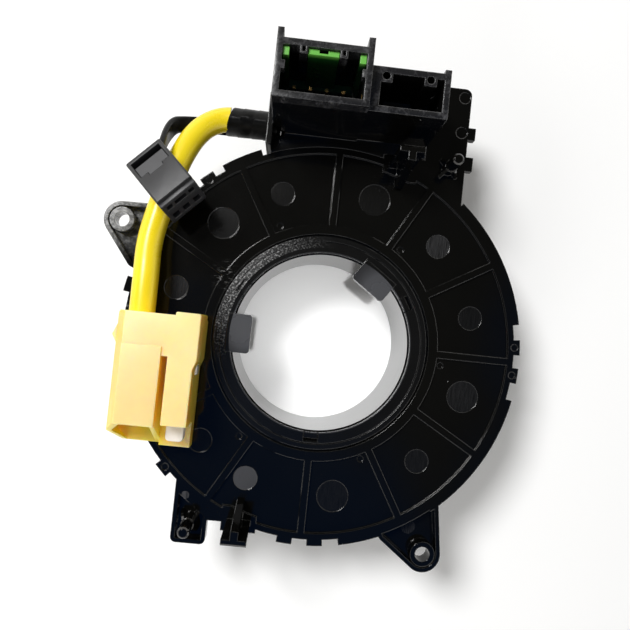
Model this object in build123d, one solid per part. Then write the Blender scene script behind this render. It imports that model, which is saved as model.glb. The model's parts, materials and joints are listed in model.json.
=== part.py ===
from build123d import *
from math import cos, radians, sin, tan
import os

# A steering clock spring in millimetres. The origin is on the bore's axis, in the plane that the
# rotor stands on. +Z runs to the column side, where the plug sockets, the posts and the leads are.

# Main sizes
bore_radius = 23.1  # hole round the steering column
face_height = 30.0  # outer face of the cover above the standing plane
cover_thickness = 2.4
rim_radius = 51.0  # outer wall of the case and of the cover
wall = 1.45  # side walls of the moulded boxes
flat_gap = 0.2  # between flat faces that turn or slide past each other
seat_gap = 0.1  # between moulded pieces that are pushed together

# Walls and gaps from the bore outwards: hub, ring, and the cover's lip that the ring holds
hub_wall = 1.8
collar_wall = 2.9
ring_wall = 1.3
ring_relief = 0.3  # the ring's bore is this much wider than the hub's
lip_gap = 0.3
lip_width = 1.7
ring_seat_gap = 0.6
ring_seat_depth = 1.25

# Case
case_wall = 1.55
case_depth = 15.0
case_lip_reach = 1.25
case_lip_thickness = 1.4
cable_window_angle = 20.0
cable_window_direction = 90.0

# Cover
field_border = 2.5  # from the seat of the ring to the shallow fields between the ribs
field_depth = 1.0
rib_count = 12
rib_width = 1.8
dimple_radius = 0.8
dimple_depth = 0.4
dimple_margin = 1.4
dimple_count = 6
dimple_start = 55
rim_mark_angles = (4.4, -3.8, -135.5, 130.3, 174.3)
rim_mark_radius = 0.9
mark_radius = 3.1  # round ejector marks in the fields, one in each
large_mark_radius = 4.1
mark_depth = 0.15
mark_angles = (15, 45, 110, 165, -135, -113, -45)
large_mark_angles = (75, 135, -165, -79.5, -15)

# Skirt round the cover, and the latch loops that snap over the case's hooks
skirt_thickness = 1.5
skirt_height = 6.0
skirt_arcs = ((11, 50), (-51, -11), (-79, -67), (113, 125))
latch_angles = (4.4, -3.8, -85.8, -94.5, -135.5, 130.3, 169.0)
latch_span = 4.4
latch_height = 9.0
latch_window_height = 3.0
latch_window_span = 2.8
latch_bar = 1.5
hook_span = 2.2
hook_reach = 1.2

# Ears with the two screw holes, and the feet of their borders by angle and distance from the rim
ear_holes = ((-54.3, 26.4), (32.1, -52.0))
ear_feet = (((148.7, 4.8), (161.8, 1.5)), ((-50.4, 0.8), (-65.0, 1.5)))
ear_root_depth = 3.0
ear_hole_radius = 1.9
ear_boss_radius = 3.2
ear_outer_radius = 4.65
ear_height = 5.0
ear_wall = 1.1
ear_floor = 1.5

# Side plate beside the plug sockets and the tray opposite it
side_x = 33.2  # straight outer side of the plate, and of the tray on the other side
plate_overhang = 2.3  # past the end of the block of sockets
plate_corner = 1.8
plate_tab_reach = 1.9
plate_tabs = ((13.4, 10.2), (21.7, 18.0))  # start and end before the plate's end
plate_edge_height = 6.0
plate_marks = (2.4, 11.7)  # round marks, before the plate's end
plate_mark_inset = 1.8
plate_mark_radius = 1.5
tray_overhang = 3.7
tray_inner_x = -24.3
tray_shelf_inset = 3.7
tray_shelf_x = -20.1
tray_step = 5.0
tray_wall = 1.1
tray_corner = 1.4
tray_floor_depth = 2.5
tray_height = 4.0

# Posts on the cover
pin_post_x = 28.75  # the other one stands opposite
pin_post_inset = 2.2
pin_post_radius = 1.45
pin_foot_radius = 1.65
pin_post_height = 11.5
pin_post_chamfer = 0.4
gusset_reach = 3.2
gusset_height = 4.0
gusset_width = 0.8
t_post_x = 16.2  # centre of the head; the other one stands opposite
t_post_inset = 2.8
t_head_width = 6.1
t_head_depth = 1.5
t_stem_width = 1.9
t_stem_reach = 2.0
t_stem_foot = 5.2
t_height = 18.0
t_pad_width = 9.0
t_pad_depth = 6.4

# Rotor
hub_setback = 2.3  # from the cover's face down to the hub's end
flange_gap = 0.4
flange_thickness = 1.8
drive_boss_circle = 36.0
drive_boss_radius = 4.0
drive_boss_hole_radius = 2.2
drive_boss_floor = 3.6
wheel_socket_size = (24.0, 13.0)
wheel_socket_gap = 4.5  # from the collar
wheel_socket_floor = 3.1
wheel_pin_count = 6
wheel_pin_pitch = 3.0
wheel_pin_length = 4.5
hook_angles = (30, 150, 270)
finger_width = 3.4
finger_thickness = 1.1
finger_nose = 1.1
finger_nose_height = 0.8
finger_gap = 0.3

# Ring on the rotor that shows in the cover, with the two lugs in the bore
sleeve_flange_thickness = 1.05
sleeve_length = 10.0
sleeve_groove = 0.25
lug_angles = (179.5, 55.0)
lug_reach = 4.9
lug_width = 10.0
lug_corner = 0.9
lug_overlap = 1.0  # over the ring
lug_rise = 0.5

# Flat cable, rollers and sheets inside the case
sheet_thickness = 0.2
sheet_margin = 2.0
carrier_thickness = 1.5
carrier_gap = 0.3
carrier_inner_margin = 2.0
carrier_outer_margin = 1.7
roller_count = 6
roller_clearance = 0.75
roller_bore_radius = 1.6
roller_running_gap = 0.1
cable_top_gap = 0.9
cable_thickness = 0.3
cable_case_room = 0.85
cable_hub_room = 1.3
cable_coil = 3.4  # from the first to the last turn of each coil
cable_outer_half_turns = 4
cable_inner_half_turns = 4
cable_lift = 0.3
tongue_direction = 270.0
tongue_half_angle = 12.0
neck_half_angle = 8.0
neck_depth = 2.0
lead_foot_half = 8.0
lead_foot_height = 4.0
lead_block_margin = 1.7
lead_block_end_x = 6.0
lead_block_gap = 0.5

# Plug sockets on the column side
block_left = -18.0
block_right = 22.4
block_length = 17.3  # outwards from the rim
block_depth = 17.0
socket_1_end_x = 3.9
socket_1_start = 2.5
socket_1_width = 13.3
socket_1_height = 28.0
socket_1_ear = 2.2
socket_1_ear_start = 3.0
socket_1_hooks = ((-12.7, -10.95), (-3.65, -1.9))
socket_1_hook_reach = 1.7
socket_1_hook_wall = 0.5
socket_1_hook_height = 9.0
socket_1_tab = (1.8, 0.8, 3.0)  # length, reach and height of the tab in each side wall
socket_1_tab_start = 6.4
socket_2_start_x = 4.9
socket_2_start = 3.0
socket_2_width = 10.5
socket_2_height = 24.0
socket_2_ear = 0.9
socket_2_boss_size = 2.9
socket_2_boss_hole = 0.9
socket_2_bosses = ((7.5, 2.05), (17.75, 1.9))  # X, and distance from the far wall's outer face
socket_floor = 5.0  # floor of both sockets above the cover's face
pin_count = 4
pin_pitch = 4.0
pin_centre_x = -7.5
pin_row = 7.4  # from the first socket's near wall
pin_size = 0.8
pin_tip = 14.0
pin_pad_size = 2.4
pin_pad_height = 4.0
lid_thickness = 1.5

# Green holder of the shorting springs
holder_height = 27.0
holder_base = 1.6
holder_base_start = 2.3  # past the row of pins
holder_arm = 1.4
holder_arm_depth = 2.0
holder_block_x = (-10.8, -3.8)
holder_block_start = 3.1
holder_notch = (2.0, 0.8, 3.5)  # width, depth from the back, and height
spring_thickness = 0.25
spring_width = 1.0
spring_foot = 3.0
spring_crest = (-2.4, 10.5)  # from the row of pins and from the holder's base
spring_toe = (-3.6, 12.5)

# Cap over the lead's exit
cap_thickness = 1.35
cap_length = 12.8
cap_start = 19.7  # before the end of the block
cap_below_face = 13.0
cap_above_face = 7.0
cap_window = 1.6

# Leads: routes from the wrapped exit to the plugs, in points chosen by hand
tube_radius = 3.2
lead_radius = 1.5
tape_thickness = 0.5
tape_end_x = -29.4
tube_route = [
    (-29.4, 55.8, 28.0),
    (-33.8, 55.8, 28.0),
    (-38.4, 51.2, 30.2),
    (-40.6, 44.2, 32.6),
    (-42.5, 36.2, 34.0),
    (-44.3, 28.6, 34.6),
    (-45.5, 20.4, 36.0),
    (-44.9, 11.6, 38.0),
    (-44.9, 3.1, 38.0),
]
lead_route = [
    (-29.4, 55.2, 22.4),
    (-34.0, 55.2, 22.4),
    (-40.0, 54.9, 23.8),
    (-44.4, 52.0, 30.8),
    (-44.4, 41.2, 41.2),
]

# Yellow plug, which lies on the cover
plug_x = (-50.4, -29.4)
plug_y = (-29.4, 3.1)
plug_crest_x = -47.2  # left edge of the flat top
plug_knee = 8.0  # height at which the left side starts to slope
plug_front_cut = 2.8
plug_shoulder_x = -35.3
plug_shoulder = 0.8
plug_lift = 0.3
plug_height = 15.7
plug_wall = 1.3
plug_slot_x = (-37.8, -36.2)
plug_slot_end = -6.8
plug_slot_depth = 9.0
plug_hood_y = -23.6
plug_hood_depth = 16.0
plug_hood_raise = 0.4
plug_hood_start = -4.6
plug_side_step = 0.8
plug_side_step_y = (-9.4, -7.2)
plug_bulge = 1.1
plug_bulge_y = (-5.0, 2.9)
plug_bulge_inset = 2.0  # from the plug's bottom, and the slope at its front
plug_tower_end = -23.0
plug_sill_height = 5.2
plug_corner = 1.0
lock_x = (-35.8, -31.4)
lock_y = (-27.6, -8.6)
lock_rise = 5.7
lock_thickness = 3.6
lock_travel = 2.5
lock_tab_length = 2.4
plug_terminal_x = (-45.3, -41.1)
plug_terminal_size = 2.0
plug_terminal_wall = 0.4
plug_terminal_length = 6.0

# Black plug, tilted with its open end up, across the yellow lead
small_plug_place = (-41.4, 34.75)
small_plug_rise = 13.5
small_plug_heading = -44.6  # of its open end, about +Z from +X
small_plug_tilt = 20.0
small_plug_size = (14.8, 10.2, 9.6)
small_plug_corner = 0.5
small_lip = (1.1, 1.2)
small_hole = 1.9
small_hole_pitch = 3.1
small_hole_rise = 2.4
small_hole_depth = 7.0
small_terminal_length = 3.0
small_slots = ((0, 3.4), (-3.2, 1.6), (3.2, 1.6))  # place across the plug, and width
small_slot_height = 1.3
small_slot_rise = 1.7
small_slot_depth = 5.0
retainer_window = (4.4, 8.0)
retainer_window_depth = 3.0
retainer_step = 0.9
retainer_inset = 1.6
retainer_sink = 0.3
retainer_rear = 1.0
retainer_gap = 0.15
retainer_travel = 0.8

# Heights that follow
cover_underside = face_height - cover_thickness
ring_seat_height = face_height - ring_seat_depth
case_bottom = cover_underside - case_depth
flange_bottom = case_bottom
flange_top = flange_bottom + flange_thickness
hub_top = face_height - hub_setback
sleeve_bottom = face_height - sleeve_length
carrier_bottom = flange_top + sheet_thickness + carrier_gap
carrier_top = carrier_bottom + carrier_thickness
cable_bottom = carrier_top + cable_lift
cable_top = cover_underside - cable_top_gap
wheel_socket_depth = flange_bottom - wheel_socket_floor
block_bottom = face_height - block_depth
socket_floor_top = face_height + socket_floor
plug_bottom = face_height + plug_lift
lock_z = (plug_bottom + lock_rise, plug_bottom + lock_rise + lock_thickness)

# Radii that follow, from the bore outwards and from the rim inwards
hub_outer_radius = bore_radius + hub_wall
collar_radius = bore_radius + collar_wall
sleeve_radius = hub_outer_radius + seat_gap + ring_wall
lip_radius = sleeve_radius + lip_gap
ring_seat_radius = lip_radius + lip_width
sleeve_flange_radius = ring_seat_radius - ring_seat_gap
field_inner = ring_seat_radius + field_border
case_inner_radius = rim_radius - case_wall
field_outer = case_inner_radius
mark_circle = (field_inner + field_outer) / 2
case_lip_radius = case_inner_radius - case_lip_reach
flange_radius = case_lip_radius - flange_gap
cable_inner_end = sleeve_radius + cable_hub_room
cable_inner_start = cable_inner_end + cable_coil
cable_outer_start = case_inner_radius - cable_case_room
cable_outer_end = cable_outer_start - cable_coil
roller_circle = (cable_outer_end + cable_inner_start) / 2
roller_radius = (cable_outer_end - cable_inner_start - cable_thickness) / 2 - roller_clearance
carrier_inner_radius = cable_inner_start + carrier_inner_margin
carrier_outer_radius = cable_outer_end - carrier_outer_margin
wheel_socket_y = -collar_radius - wheel_socket_gap - wheel_socket_size[1] / 2
skirt_inner = rim_radius + seat_gap
skirt_outer = skirt_inner + skirt_thickness
latch_bottom = cover_underside - latch_height + cover_thickness
latch_window_bottom = latch_bottom + latch_bar

# Places on the cover and in the block that follow from the rim
block_end_y = rim_radius + block_length
plate_end_y = block_end_y + plate_overhang
tray_end_y = -rim_radius - tray_overhang
tray_shelf_y = tray_shelf_inset - rim_radius
pin_post = (pin_post_x, rim_radius - pin_post_inset)
t_post = (t_post_x, rim_radius - t_post_inset)
pad_left = t_post[0] - t_pad_width / 2 - flat_gap
pad_end = t_post[1] + (t_pad_depth - t_head_depth) / 2 + flat_gap
socket_1_x = (block_left, socket_1_end_x)
socket_1_y = (rim_radius + socket_1_start, rim_radius + socket_1_start + socket_1_width)
socket_2_x = (socket_2_start_x, block_right)
socket_2_y = (rim_radius + socket_2_start, rim_radius + socket_2_start + socket_2_width)
pin_centre = (pin_centre_x, socket_1_y[0] + pin_row)
cap_y = (block_end_y - cap_start, block_end_y - cap_start + cap_length)
cap_z = (face_height - cap_below_face, face_height + cap_above_face)
on_floor = (Align.CENTER, Align.CENTER, Align.MIN)


# Basic shapes
def block(x, y, z):
    """A box between two values on each axis."""
    size = Box(x[1] - x[0], y[1] - y[0], z[1] - z[0], align=(Align.MIN, Align.MIN, Align.MIN))
    return Pos(x[0], y[0], z[0]) * size


def rectangle(x, y):
    """A flat rectangle between two values in X and in Y."""
    return Pos(x[0], y[0]) * Rectangle(x[1] - x[0], y[1] - y[0], align=(Align.MIN, Align.MIN))


def column(radius, bottom, top, centre=(0, 0)):
    return Pos(centre[0], centre[1], bottom) * Cylinder(radius, top - bottom, align=on_floor)


def ring(inner, outer, bottom, top, centre=(0, 0)):
    return column(outer, bottom, top, centre) - column(inner, bottom, top, centre)


def polar(radius, angle):
    return (radius * cos(radians(angle)), radius * sin(radians(angle)))


def sector(inner, outer, start, end, bottom, top):
    """A piece of a ring between two angles in degrees."""
    outline = [
        CenterArc((0, 0), outer, start, end - start),
        CenterArc((0, 0), inner, start, end - start),
        Line(polar(inner, start), polar(outer, start)),
        Line(polar(inner, end), polar(outer, end)),
    ]
    return prism(make_face(Wire(outline)), bottom, top)


def prism(outline, bottom, top):
    """A flat sketch drawn on the ground and raised between two heights."""
    return Pos(0, 0, bottom) * extrude(outline, top - bottom, dir=(0, 0, 1))


def bar(outline, start, end):
    """A section drawn in Y and Z and carried along X between two values."""
    return Pos(start, 0, 0) * extrude(Plane.YZ * outline, end - start, dir=(1, 0, 0))


def opposite(shape):
    """The same shape turned half a turn about the bore."""
    return Rot(0, 0, 180) * shape


# Cover: plate with ribs and marks
def cover_plate():
    plate = ring(lip_radius, rim_radius, cover_underside, face_height)
    plate -= ring(lip_radius - 1, ring_seat_radius, ring_seat_height, face_height)
    fields = ring(field_inner, field_outer, face_height - field_depth, face_height)
    for index in range(rib_count // 2):
        rib = Box(2 * rim_radius, rib_width, 4 * field_depth)
        fields -= Pos(0, 0, face_height) * Rot(0, 0, index * 360 / rib_count) * rib
    plate -= fields
    field_floor = face_height - field_depth
    for index in range(dimple_count):
        spot = polar(field_inner + dimple_margin, dimple_start + index * 360 / dimple_count)
        plate -= column(dimple_radius, field_floor - dimple_depth, field_floor, spot)
    for radius, angles in ((mark_radius, mark_angles), (large_mark_radius, large_mark_angles)):
        for angle in angles:
            spot = polar(mark_circle, angle)
            plate -= column(radius, field_floor - mark_depth, field_floor, spot)
    return plate


# Cover: small round marks on the rim and on the side plate
def small_marks():
    marks = []
    height = (face_height - mark_depth, face_height)
    for angle in rim_mark_angles:
        marks.append(column(rim_mark_radius, *height, polar(skirt_inner, angle)))
    for distance in plate_marks:
        spot = (side_x - plate_mark_inset, plate_end_y - distance)
        marks.append(column(plate_mark_radius, *height, spot))
    return marks


# Cover: skirt arcs and latch loops round the edge
def cover_skirt():
    parts = []
    edge_z = (cover_underside, face_height)
    window_z = (latch_window_bottom, latch_window_bottom + latch_window_height)
    for start, end in skirt_arcs:
        parts.append(sector(field_outer, skirt_outer, start, end, *edge_z))
        skirt_z = (face_height - skirt_height, face_height)
        parts.append(sector(skirt_inner, skirt_outer, start, end, *skirt_z))
    for angle in latch_angles:
        start, end = angle - latch_span / 2, angle + latch_span / 2
        loop = sector(skirt_inner, skirt_outer, start, end, latch_bottom, face_height)
        start, end = angle - latch_window_span / 2, angle + latch_window_span / 2
        loop -= sector(rim_radius, skirt_outer + wall, start, end, *window_z)
        parts.append(loop)
        start, end = angle - latch_span / 2, angle + latch_span / 2
        parts.append(sector(field_outer, skirt_outer, start, end, *edge_z))
    return parts


# Cover: one ear, with its raised border, its boss and its screw hole
def ear_outline(hole, feet, inset):
    """The ear as seen from above, made smaller all round by an inset."""
    circles = (Pos(*hole) * Circle(ear_outer_radius - inset)).edges()
    foot = Circle(2 * ear_wall - inset)
    for angle, reach in feet:
        for radius in (rim_radius + reach, rim_radius - ear_root_depth):
            circles += (Pos(*polar(radius, angle)) * foot).edges()
    return make_hull(circles)


def ear(hole, feet):
    bottom = face_height - ear_height
    outer = ear_outline(hole, feet, 0)
    floor = ear_outline(hole, feet, ear_wall) - Circle(rim_radius + ear_wall)
    floor -= Pos(*hole) * Circle(ear_boss_radius)
    shape = prism(outer - Circle(skirt_inner), bottom, face_height)
    shape += prism(outer - Circle(field_outer), cover_underside, face_height)
    return shape - prism(floor, bottom + ear_floor, face_height)


# Cover: plate beside the sockets, with its two tabs and turned-down edge
def side_plate():
    left = block_right + flat_gap
    corner = (side_x - plate_corner, plate_end_y - plate_corner)
    outline = rectangle((left, side_x), (rim_radius / 2, plate_end_y))
    outline -= rectangle((corner[0], side_x), (corner[1], plate_end_y))
    outline += Pos(*corner) * Circle(plate_corner)
    for start, end in plate_tabs:
        tab_y = (plate_end_y - start, plate_end_y - end)
        outline += rectangle((side_x - wall, side_x + plate_tab_reach), tab_y)
    outline += rectangle((t_post[0], left + wall), (rim_radius / 2, pad_end - flat_gap))
    outline -= Circle(field_outer)
    shape = prism(outline, cover_underside, face_height)
    edge_z = (face_height - plate_edge_height, face_height)
    shape += block((side_x - tray_wall, side_x), (pin_post[1], corner[1]), edge_z)
    return shape + block((left, corner[0]), (plate_end_y - tray_wall, plate_end_y), edge_z)


# Cover: tray at the lower left, with walls round a sunk floor
def tray():
    bottom = face_height - tray_height
    outer = rectangle((-side_x, tray_inner_x), (tray_end_y, -rim_radius / 2))
    outer = fillet(outer.vertices().sort_by(Axis.Y)[:2], tray_corner)
    near, far = -side_x + tray_wall, tray_inner_x - tray_wall
    start = tray_end_y + tray_wall
    corners = [(near, start), (far, start), (far, tray_shelf_y), (near, tray_shelf_y + tray_step)]
    inner = Polygon(*corners, align=None) - Circle(rim_radius + tray_wall)
    shape = prism(outer - Circle(skirt_inner), bottom, face_height)
    shape -= prism(inner, face_height - tray_floor_depth, face_height)
    rim = prism(outer - Circle(field_outer), cover_underside, face_height)
    shelf_y = (tray_shelf_y - tray_wall, tray_shelf_y + tray_shelf_inset)
    shelf = block((far, tray_shelf_x), shelf_y, (cover_underside, face_height))
    shelf -= column(field_outer, cover_underside, face_height)
    return shape + (rim - prism(inner, bottom, face_height)) + shelf


# Cover: a locating pin with four gussets at its foot
def locating_pin(foot):
    top = face_height + gusset_height
    shape = column(pin_post_radius, top, face_height + pin_post_height, pin_post)
    shape = chamfer(shape.edges().group_by(Axis.Z)[-1], pin_post_chamfer)
    shape += column(pin_foot_radius, foot, top, pin_post)
    root = foot - face_height
    corners = [(0, root), (gusset_reach, root), (gusset_reach, 0), (pin_foot_radius, gusset_height)]
    fin = Polygon(*corners, (0, gusset_height), align=None)
    blade = extrude(Plane.XZ * fin, gusset_width / 2, both=True)
    for index in range(4):
        shape += Pos(pin_post[0], pin_post[1], face_height) * Rot(0, 0, 45 + 90 * index) * blade
    return shape


# Cover: a tall T-shaped post on its pad
def t_shaped_post():
    x, y = t_post
    top = face_height + t_height
    half = t_head_width / 2
    inner_y = y - t_head_depth / 2
    head = block((x - half, x + half), (inner_y, inner_y + t_head_depth), (cover_underside, top))
    head = chamfer(head.edges().group_by(Axis.Z)[-1].sort_by(Axis.Y)[-1], t_head_depth / 3)
    foot_y, tip_y = inner_y - t_stem_foot, inner_y - t_stem_reach
    side = Polygon((inner_y, 0), (foot_y, 0), (tip_y, t_height), (inner_y, t_height), align=None)
    stem = Pos(x, 0, face_height) * extrude(Plane.YZ * side, t_stem_width / 2, both=True)
    pad_x = (x - t_pad_width / 2, x + t_pad_width / 2)
    pad_y = (inner_y - t_pad_depth / 2, inner_y + t_pad_depth / 2)
    pad = block(pad_x, pad_y, (cover_underside, face_height))
    return head + stem + (pad - column(field_outer - t_head_depth, cover_underside, face_height))


def make_cover():
    cover = cover_plate()
    for piece in cover_skirt():
        cover += piece
    for hole, feet in zip(ear_holes, ear_feet):
        cover += ear(hole, feet)
    cover += side_plate()
    cover += tray()
    cover += locating_pin(cover_underside)
    cover += opposite(locating_pin(cover_underside - tray_floor_depth / 2))
    post = t_shaped_post()
    cover += post
    cover += opposite(post)
    for mark in small_marks():
        cover -= mark
    for hole in ear_holes:
        cover -= column(ear_hole_radius, face_height - ear_height, face_height, hole)
    return cover


# Case: outer wall, wheel-side lip, snap hooks and the window for the flat cable
def make_case():
    case = ring(case_inner_radius, rim_radius, case_bottom, cover_underside)
    case += ring(case_lip_radius, rim_radius - wall / 2, case_bottom, case_bottom + case_lip_thickness)
    hook_bottom = latch_window_bottom + flat_gap
    hook_top = hook_bottom + latch_window_height - 2 * flat_gap
    root = rim_radius - case_wall / 2
    corners = [(root, hook_bottom), (rim_radius + hook_reach, hook_bottom), (root, hook_top)]
    hook = revolve(Plane.XZ * Polygon(*corners, align=None), Axis.Z, hook_span)
    for angle in latch_angles:
        case += Rot(0, 0, angle - hook_span / 2) * hook
    return case - cable_window(case_lip_radius - 1, rim_radius + 1)


def cable_window(inner, outer):
    """The room that the flat cable leaves the case through."""
    start = cable_window_direction - cable_window_angle / 2
    end = cable_window_direction + cable_window_angle / 2
    return sector(inner, outer, start, end, cable_bottom, cover_underside)


# Rotor: hub, flange, collar, drive bosses, wheel-side socket and snap fingers
def wheel_pins(bottom, top, size):
    pins = []
    half = size / 2
    y = (wheel_socket_y - half, wheel_socket_y + half)
    for index in range(wheel_pin_count):
        x = (index - (wheel_pin_count - 1) / 2) * wheel_pin_pitch
        pins.append(block((x - half, x + half), y, (bottom, top)))
    return pins


def make_rotor():
    rotor = ring(bore_radius, hub_outer_radius, 0, hub_top)
    rotor += ring(bore_radius, collar_radius, 0, flange_top)
    rotor += ring(bore_radius + 1, flange_radius, flange_bottom, flange_top)
    for side in (-1, 1):
        x = side * drive_boss_circle
        rotor += column(drive_boss_radius, 0, flange_bottom, (x, 0))
        fin_y = (-2 * drive_boss_radius, 2 * drive_boss_radius)
        rotor += block((x - wall / 2, x + wall / 2), fin_y, (flange_bottom / 2, flange_bottom))
        rotor -= column(drive_boss_hole_radius, 0, flange_bottom - drive_boss_floor, (x, 0))
    width, depth = wheel_socket_size
    rotor += Pos(0, wheel_socket_y, 0) * Box(width, depth, flange_bottom, align=on_floor)
    hollow = Box(width - 2 * wall, depth - 2 * wall, wheel_socket_depth, align=on_floor)
    rotor -= Pos(0, wheel_socket_y, 0) * hollow
    for hole in wheel_pins(wheel_socket_depth, flange_top, pin_size):
        rotor -= hole
    for angle in hook_angles:
        rotor += Rot(0, 0, angle) * snap_finger()
    return rotor - lead_tongue(tongue_half_angle, seat_gap, flange_bottom, flange_top)


def snap_finger():
    """A finger that stands on the hub and hooks outwards over the ring."""
    root = hub_top - wall
    inner = bore_radius + ring_relief
    outer = inner + finger_thickness
    nose_bottom = ring_seat_height + finger_gap
    top = nose_bottom + finger_nose_height
    corners = [(bore_radius, root), (outer, root), (outer, nose_bottom)]
    corners += [(outer + finger_nose, nose_bottom), (outer + finger_nose / 3, top), (bore_radius, top)]
    finger = extrude(Plane.XZ * Polygon(*corners, align=None), finger_width / 2, both=True)
    finger -= column(inner, hub_top, top)
    return finger - column(bore_radius, root, top)


# Block that ends the flat cable at the hub, with its tongue up the outside of the hub
def lead_tongue(half_angle, gap, bottom, top):
    """A curved strip between the hub's ring and the flat cable, grown by a gap."""
    inner = sleeve_radius + seat_gap - gap
    outer = cable_inner_end - (cable_thickness + seat_gap) / 2 + gap
    start, end = tongue_direction - half_angle - gap, tongue_direction + half_angle + gap
    return sector(inner, outer, start, end, bottom - gap, top + gap)


def make_rotor_lead_block():
    tongue = lead_tongue(tongue_half_angle, 0, flange_bottom, cable_top)
    neck = lead_tongue(neck_half_angle, 0, flange_bottom - neck_depth, flange_bottom + wall)
    foot_y = (wheel_socket_y + wheel_socket_size[1] / 2 + seat_gap, -collar_radius)
    foot_z = (flange_bottom - lead_foot_height, flange_bottom - seat_gap)
    foot = block((-lead_foot_half, lead_foot_half), foot_y, foot_z)
    foot -= column(collar_radius + seat_gap, foot_z[0], flange_bottom)
    return tongue + foot + neck


# Ring that snaps on the hub and holds the cover, with two lugs in the bore
def make_sleeve():
    bottom = hub_top + flat_gap
    flange_z = (face_height - sleeve_flange_thickness, face_height)
    sleeve = ring(bore_radius + ring_relief, sleeve_radius, bottom, face_height)
    sleeve += ring(hub_outer_radius, sleeve_flange_radius, *flange_z)
    sleeve += ring(hub_outer_radius + seat_gap, sleeve_radius, sleeve_bottom, face_height)
    groove_start = sleeve_radius - sleeve_groove / 2
    groove_floor = face_height - sleeve_groove
    sleeve -= ring(groove_start, groove_start + sleeve_groove, groove_floor, face_height)
    lug = RectangleRounded(2 * lug_reach, lug_width, lug_corner)
    half_width = lug_width / 2
    lug_end = ring_relief + lug_overlap
    inside = lug & rectangle((-lug_reach, ring_relief), (-half_width, half_width))
    pad = Pos(bore_radius, 0) * (lug & rectangle((-lug_reach, lug_end), (-half_width, half_width)))
    for angle in lug_angles:
        sleeve += Rot(0, 0, angle) * prism(Pos(bore_radius, 0) * inside, bottom, face_height)
        sleeve += Rot(0, 0, angle) * prism(pad, flange_z[0], face_height + lug_rise)
    half = finger_width / 2 + 2 * seat_gap
    finger_end = bore_radius + ring_relief + finger_thickness + seat_gap
    start = bore_radius - ring_wall
    passage = block((start, finger_end), (-half, half), (bottom, face_height))
    ledge_x = (start, finger_end + finger_nose + seat_gap)
    passage += block(ledge_x, (-half, half), (ring_seat_height + finger_gap - seat_gap, face_height))
    for angle in hook_angles:
        sleeve -= Rot(0, 0, angle) * passage
    return sleeve


# Flat cable: two coils joined by a U-turn round a roller
def half_turn_spiral(start, end, half_turns, angle, direction):
    """Start, middle and end of each half turn of a spiral, with the side that its centre is on."""
    step = (end - start) / half_turns
    spans = []
    for index in range(half_turns):
        side = angle + 180 * index
        first, last = start + step * index, start + step * (index + 1)
        radius, shift = (first + last) / 2, (first - last) / 2
        axis = Vector(*polar(1, side))
        middle = Vector(*polar(1, side + 90 * direction))
        spans.append((axis * first, axis * shift + middle * radius, axis * -last))
    return spans


def cable_edges(spans, shift):
    """One side of the cable, at a distance to the left of its centre line."""
    edges = []
    for start, middle, end in spans:
        centre = (start + end) * 0.5
        turn = (middle - start).cross(end - middle).Z
        grow = -shift if turn > 0 else shift
        points = [centre + (point - centre).normalized() * ((point - centre).length + grow)
                  for point in (start, middle, end)]
        edges.append(ThreePointArc(*points))
    return edges


def make_flat_cable():
    start = cable_window_direction
    outer = half_turn_spiral(cable_outer_start, cable_outer_end, cable_outer_half_turns, start, 1)
    turn_angle = start + 180 * cable_outer_half_turns
    centre = Vector(*polar(roller_circle, turn_angle))
    across = Vector(*polar((cable_outer_end - cable_inner_start) / 2, turn_angle))
    along = Vector(*polar((cable_outer_end - cable_inner_start) / 2, turn_angle + 90))
    bend = [(centre + across, centre + along, centre - across)]
    inner = half_turn_spiral(cable_inner_start, cable_inner_end, cable_inner_half_turns, turn_angle, -1)
    spans = outer + bend + inner
    left = cable_edges(spans, cable_thickness / 2)
    right = cable_edges(spans, -cable_thickness / 2)
    caps = [Line(left[0] @ 0, right[0] @ 0), Line(left[-1] @ 1, right[-1] @ 1)]
    return prism(make_face(Wire(left + right + caps)), cable_bottom, cable_top)


# Roller carrier, its rollers and the sheets that they slide on
def roller_centre(index):
    return polar(roller_circle, cable_window_direction + index * 360 / roller_count)


def make_carrier():
    carrier = ring(carrier_inner_radius, carrier_outer_radius, carrier_bottom, carrier_top)
    for index in range(roller_count):
        centre = roller_centre(index)
        carrier += column(roller_bore_radius - roller_running_gap, carrier_top, cable_top, centre)
    return carrier


def make_roller(index):
    bottom = carrier_top + flat_gap
    return ring(roller_bore_radius, roller_radius, bottom, cable_top, roller_centre(index))


def make_lower_sheet():
    inner, outer = carrier_inner_radius - sheet_margin, carrier_outer_radius + sheet_margin
    return ring(inner, outer, flange_top, flange_top + sheet_thickness)


def make_upper_sheet():
    inner, outer = carrier_inner_radius - sheet_margin, carrier_outer_radius + sheet_margin
    return ring(inner, outer, cover_underside - sheet_thickness, cover_underside)


# Connector block: two plug sockets on a hollow base that hugs the case
def socket(x, y, height):
    top = face_height + height
    shape = block(x, y, (face_height, top))
    inside_x = (x[0] + wall, x[1] - wall)
    inside_y = (y[0] + wall, y[1] - wall)
    return shape - block(inside_x, inside_y, (socket_floor_top, top))


def socket_pin_blocks(bottom, top, size):
    pins = []
    half = size / 2
    y = (pin_centre[1] - half, pin_centre[1] + half)
    for index in range(pin_count):
        x = pin_centre[0] + (index - (pin_count - 1) / 2) * pin_pitch
        pins.append(block((x - half, x + half), y, (bottom, top)))
    return pins


def block_inside(gap, bottom, top):
    """The room inside the base of the block, made smaller all round by a gap."""
    end_y = block_end_y - wall - gap
    left = block_left + wall + gap
    room = block((left, block_right - wall - gap), (pad_end + wall + gap, end_y), (bottom, top))
    room += block((left, pad_left - wall - gap), (rim_radius / 2, end_y), (bottom, top))
    return room - column(skirt_outer + gap, bottom, top)


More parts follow.
